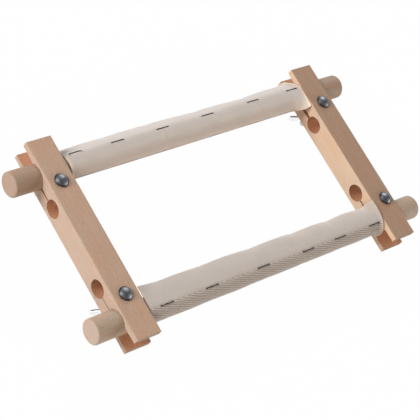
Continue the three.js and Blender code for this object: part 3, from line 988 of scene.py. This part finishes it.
def thread_shape(low, high, pitch):
    """Screw thread between two heights, with its tip bevelled."""
    root, crest = SHANK_RADIUS - pitch * THREAD_DEPTH, pitch * THREAD_CREST
    turns = int((high - low) / pitch) + 3
    start = low - pitch
    profile = [(root, 0), (SHANK_RADIUS, pitch / 2 - crest), (SHANK_RADIUS, pitch / 2 + crest), (root, pitch)]
    shape = bmesh.new()
    verts = [shape.verts.new((radius, 0, start + height)) for radius, height in profile]
    edges = [shape.edges.new(pair) for pair in zip(verts, verts[1:])]
    bmesh.ops.spin(
        shape, geom=verts + edges, cent=(0, 0, 0), axis=(0, 0, 1), dvec=(0, 0, pitch / THREAD_STEPS),
        angle=math.tau * turns, steps=THREAD_STEPS * turns, use_merge=False, use_duplicate=False)
    bmesh.ops.remove_doubles(shape, verts=shape.verts, dist=0.002 * MM)
    for height, outward_z in ((low, -1), (high, 1)):
        cut = bmesh.ops.bisect_plane(
            shape, geom=[*shape.verts, *shape.edges, *shape.faces], plane_co=(0, 0, height),
            plane_no=(0, 0, outward_z), clear_outer=True)
        rim = [e for e in cut["geom_cut"] if isinstance(e, bmesh.types.BMEdge)]
        bmesh.ops.triangle_fill(shape, edges=rim, use_beauty=True)
    bmesh.ops.recalc_face_normals(shape, faces=shape.faces)
    for vert in shape.verts:
        limit = SHANK_RADIUS - max(0.0, THREAD_TIP - (vert.co.z - low))
        spread = vert.co.xy.length
        if spread > limit > 0:
            vert.co.x *= limit / spread
            vert.co.y *= limit / spread
    return shape


def make_bolt(name, finishes, settings):
    """A bolt in two finishes of one steel, the first above the arm's underside and the second below it: the
    head's darker colour is partly painted reflection of a dark room above.
    """
    node = f"bolt_{name}"
    low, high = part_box(node)
    centre, radius = (low + high) / 2, (high.x - low.x) / 2
    base = high.z - HEAD_HEIGHT
    shape = head_shape(radius, base)
    neck = bmesh.new()
    size = Matrix.Diagonal((NECK_WIDTH, NECK_WIDTH, NECK_DEPTH + HEAD_RIM / 2, 1))
    bmesh.ops.create_cube(neck, size=1.0, matrix=Matrix.Translation((0, 0, base - NECK_DEPTH / 2)) @ size)
    bevelled(neck, sharp_edges(neck, 60), NECK_EASE)
    join_shape(shape, neck)
    thread_top = low.z + THREAD_LENGTH
    plain, foot, shoulder = SHANK_RADIUS - SHANK_SLACK, thread_top - MM, base - MM
    join_shape(shape, turned([(0, foot), (plain, foot), (plain, shoulder), (0, shoulder)], THREAD_STEPS))
    join_shape(shape, thread_shape(low.z, thread_top, settings.thread_pitch))
    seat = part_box(f"washer_{name}")[1].z
    for face in shape.faces:
        face.material_index = int(face.calc_center_median().z < seat)
    for vert in shape.verts:
        vert.co.y -= LEAN.get(name, 0.0) * max(0.0, vert.co.z - seat)
    moved(shape, Matrix.Translation((centre.x, centre.y, 0)))
    side = name.split("_")[0]
    piece = new_piece(f"carriage_bolt_{name}", shape, finishes, f"arm_{side}", node)
    shade_edges(piece, 40)


class FRAME_OT_bolts(bpy.types.Operator):
    """Make the four carriage bolts with domed heads, square necks and cut threads"""
    bl_idname = "embroidery_frame.bolts"
    bl_label = "Carriage Bolts"

    def execute(self, context):
        steel = context.scene.frame_steel
        # One steel in two finishes: the heads' darker colour is partly painted reflection of a dark room
        # above.
        dull = zinc("bolt_zinc", steel.bolt_colour, 0.44, rim_shade=0.8)
        bright = zinc("thread_zinc", steel.nut_colour, 0.25)
        for name in CLAMPS:
            make_bolt(name, (dull, bright), steel)
        return {"FINISHED"}


WASHER_EASE = 0.2 * MM
WASHER_CLEARANCE = 0.3 * MM


def make_washer(name, finish):
    node = f"washer_{name}"
    centre, size = box_centre(node), box_size(node)
    outer, half = size.x / 2, size.z / 2
    inner = SHANK_RADIUS + WASHER_CLEARANCE
    top = rounded_corner((outer - WASHER_EASE, half - WASHER_EASE), WASHER_EASE, 90, 0)
    bottom = [(r, -h) for r, h in reversed(top)]
    shape = turned([(inner, half), *top, *bottom, (inner, -half)], 48)
    moved(shape, Matrix.Translation(centre))
    piece = new_piece(f"plain_washer_{name}", shape, (finish,), node, node)
    shade_edges(piece, 40)


class FRAME_OT_washers(bpy.types.Operator):
    """Make the washers under the arms"""
    bl_idname = "embroidery_frame.washers"
    bl_label = "Washers"

    def execute(self, context):
        finish = zinc("washer_zinc", context.scene.frame_steel.nut_colour, 0.3)
        for name in CLAMPS:
            make_washer(name, finish)
        return {"FINISHED"}


HUB_HEIGHT = 7.5 * MM
HUB_BASE = 6.25 * MM
HUB_TOP = 5 * MM
NUT_CLEARANCE = 0.25 * MM
WING_SPAN = 33 * MM
WING_THICKNESS = 2.4 * MM
WING_TIP = 3.6 * MM
# Angles, in degrees, between which a wing's round end runs.
WING_ROUND = (32, -142)
# Where a wing leaves the hub, below the nut's seat.
WING_ROOT = (6.6 * MM, 1.2 * MM)
# The frame's points past this are the wings'.
HUB_REACH = 10 * MM
NUT_VOXEL = 0.3 * MM


def wing_outline(height):
    """One wing in the XZ plane, its tip down: a round end joined to the hub by straight sides."""
    tip = (WING_SPAN / 2 - WING_TIP, WING_TIP - height)
    round_end = rounded_corner(tip, WING_TIP, *WING_ROUND, 14)
    root = [(SHANK_RADIUS + MM, -depth) for depth in WING_ROOT]
    return [*root, *round_end]


def make_wing_nut(name, finish):
    node = f"wing_nut_{name}"
    low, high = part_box(node)
    centre = Vector((*box_centre(f"bolt_{name}").xy, high.z))
    turn = wing_turn(node, centre, HUB_REACH)
    inner = SHANK_RADIUS + NUT_CLEARANCE
    hub = turned([(inner, 0), (HUB_BASE, 0), (HUB_TOP, -HUB_HEIGHT), (inner, -HUB_HEIGHT)], 64)
    for half_turn in (0, math.pi):
        wing = plate(wing_outline(high.z - low.z), WING_THICKNESS)
        join_shape(hub, moved(wing, Matrix.Rotation(half_turn, 4, "Z")))
    moved(hub, Matrix.Translation(centre) @ Matrix.Rotation(turn, 4, "Z"))
    piece = new_piece(f"forged_{node}", hub, (finish,), node, node)
    remesh = piece.modifiers.new("One forging", "REMESH")
    remesh.mode = "VOXEL"
    remesh.voxel_size = NUT_VOXEL
    remesh.use_smooth_shade = True
    smooth = piece.modifiers.new("Soft corners", "SMOOTH")
    smooth.factor = 0.5
    smooth.iterations = 4


class FRAME_OT_wing_nuts(bpy.types.Operator):
    """Forge the wing nuts"""
    bl_idname = "embroidery_frame.wing_nuts"
    bl_label = "Wing Nuts"

    def execute(self, context):
        finish = zinc("wing_nut_zinc", context.scene.frame_steel.nut_colour, 0.2)
        for name in CLAMPS:
            make_wing_nut(name, finish)
        return {"FINISHED"}


# Stage

FLOOR_SIZE = 12.0
# How much of the floor that the camera sees is even white. The rest is its lit paint.
FLOOR_SHOW = 0.985
WALL_COLOUR = (0.95, 0.97, 1.0, 1)


def make_floor():
    """White floor: mostly an even white to the camera and to metal, with a faint shadow."""
    shape = bmesh.new()
    bmesh.ops.create_grid(shape, x_segments=1, y_segments=1, size=FLOOR_SIZE / 2)
    mesh = bpy.data.meshes.new("studio_floor")
    shape.to_mesh(mesh)
    shape.free()
    floor = bpy.data.objects.new("studio_floor", mesh)
    bpy.context.scene.collection.objects.link(floor)
    finish = Finish("floor_paint")
    paint = finish.node("BsdfDiffuse", sockets={"Color": (0.9, 0.9, 0.9, 1)})["BSDF"]
    white = finish.node("Emission", sockets={"Color": (1, 1, 1, 1), "Strength": 1.0})["Emission"]
    ray = finish.node("LightPath")
    seen = (ray["Is Camera Ray"] + ray["Is Glossy Ray"] + ray["Is Transmission Ray"]).least(1.0)
    shown = finish.node("MixShader", sockets={0: seen * FLOOR_SHOW, 1: paint, 2: white})["Shader"]
    finish.tree.links.new(shown.socket, finish.tree.nodes["Material Output"].inputs["Surface"])
    mesh.materials.append(finish.material)


LIGHT_DISTANCE = 4.5
LIGHT_SIZE = 2.4


def make_light(name, azimuth, elevation, power, colour):
    """Round soft light that looks at the frame, its angles in degrees seen from the frame."""
    data = bpy.data.lights.new(name, "AREA")
    data.shape = "DISK"
    data.size = LIGHT_SIZE
    data.energy = power
    data.color = colour
    light = bpy.data.objects.new(name, data)
    bpy.context.scene.collection.objects.link(light)
    turn, rise = math.radians(azimuth), math.radians(elevation)
    away = Vector((math.cos(turn) * math.cos(rise), math.sin(turn) * math.cos(rise), math.sin(rise)))
    light.location = away * LIGHT_DISTANCE
    light.rotation_euler = away.to_track_quat("Z", "Y").to_euler()


def make_surround(strength):
    world = bpy.data.worlds.new("studio")
    bpy.context.scene.world = world
    world.use_nodes = True
    walls = world.node_tree.nodes["Background"]
    walls.inputs["Strength"].default_value = strength
    walls.inputs["Color"].default_value = WALL_COLOUR


def make_camera(stage):
    data = bpy.data.cameras.new("photo_camera")
    camera = bpy.data.objects.new("photo_camera", data)
    bpy.context.scene.collection.objects.link(camera)
    data.lens = stage.lens
    data.sensor_width = 36
    data.clip_start = 0.05
    data.clip_end = 50
    place, target = Vector(stage.camera_place), Vector(stage.camera_target)
    level = (target - place).to_track_quat("-Z", "Y")
    camera.rotation_mode = "QUATERNION"
    camera.rotation_quaternion = level @ Quaternion((0, 0, 1), stage.camera_roll)
    camera.location = place
    bpy.context.scene.camera = camera


class FRAME_OT_stage(bpy.types.Operator):
    """Set the floor, the lights and the camera"""
    bl_idname = "embroidery_frame.stage"
    bl_label = "Stage"

    def execute(self, context):
        stage = context.scene.frame_stage
        make_floor()
        make_surround(stage.surround)
        make_light("key_light", 153, 25, stage.key_power, (1.0, 0.97, 0.97))
        make_light("back_light", 50, 30, stage.back_power, (0.95, 0.98, 1.0))
        make_light("right_fill", -40, 15, stage.right_power, (1.0, 0.95, 0.95))
        make_light("left_fill", -130, 15, stage.left_power, (1.0, 0.84, 0.68))
        make_camera(stage)
        context.scene.view_settings.view_transform = "Standard"
        return {"FINISHED"}


# Panel and registration

OPERATORS = (
    FRAME_OT_side_arms, FRAME_OT_rollers, FRAME_OT_staples, FRAME_OT_tapes,
    FRAME_OT_bolts, FRAME_OT_washers, FRAME_OT_wing_nuts, FRAME_OT_stage,
)
GROUPS = {
    "frame_wood": WoodSettings,
    "frame_tape": TapeSettings,
    "frame_steel": SteelSettings,
    "frame_stage": StageSettings,
}


class FRAME_PT_panel(bpy.types.Panel):
    """Sizes, colours and steps of the embroidery frame"""
    bl_idname = "FRAME_PT_panel"
    bl_label = "Embroidery Frame"
    bl_space_type = "VIEW_3D"
    bl_region_type = "UI"
    bl_category = "Embroidery Frame"

    def draw(self, context):
        for group, settings in GROUPS.items():
            column = self.layout.column()
            for name in settings.__annotations__:
                column.prop(getattr(context.scene, group), name)
        for operator in OPERATORS:
            self.layout.operator(operator.bl_idname)


def register():
    for group, settings in GROUPS.items():
        bpy.utils.register_class(settings)
        setattr(bpy.types.Scene, group, bpy.props.PointerProperty(type=settings))
    for each in (*OPERATORS, FRAME_PT_panel):
        bpy.utils.register_class(each)


def unregister():
    for each in (FRAME_PT_panel, *reversed(OPERATORS)):
        bpy.utils.unregister_class(each)
    for group, settings in reversed(GROUPS.items()):
        delattr(bpy.types.Scene, group)
        bpy.utils.unregister_class(settings)


def main():
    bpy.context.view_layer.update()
    register()
    for operator in OPERATORS:
        group, name = operator.bl_idname.split(".")
        getattr(getattr(bpy.ops, group), name)()
    bpy.context.view_layer.update()


if __name__ == "__main__":
    main()
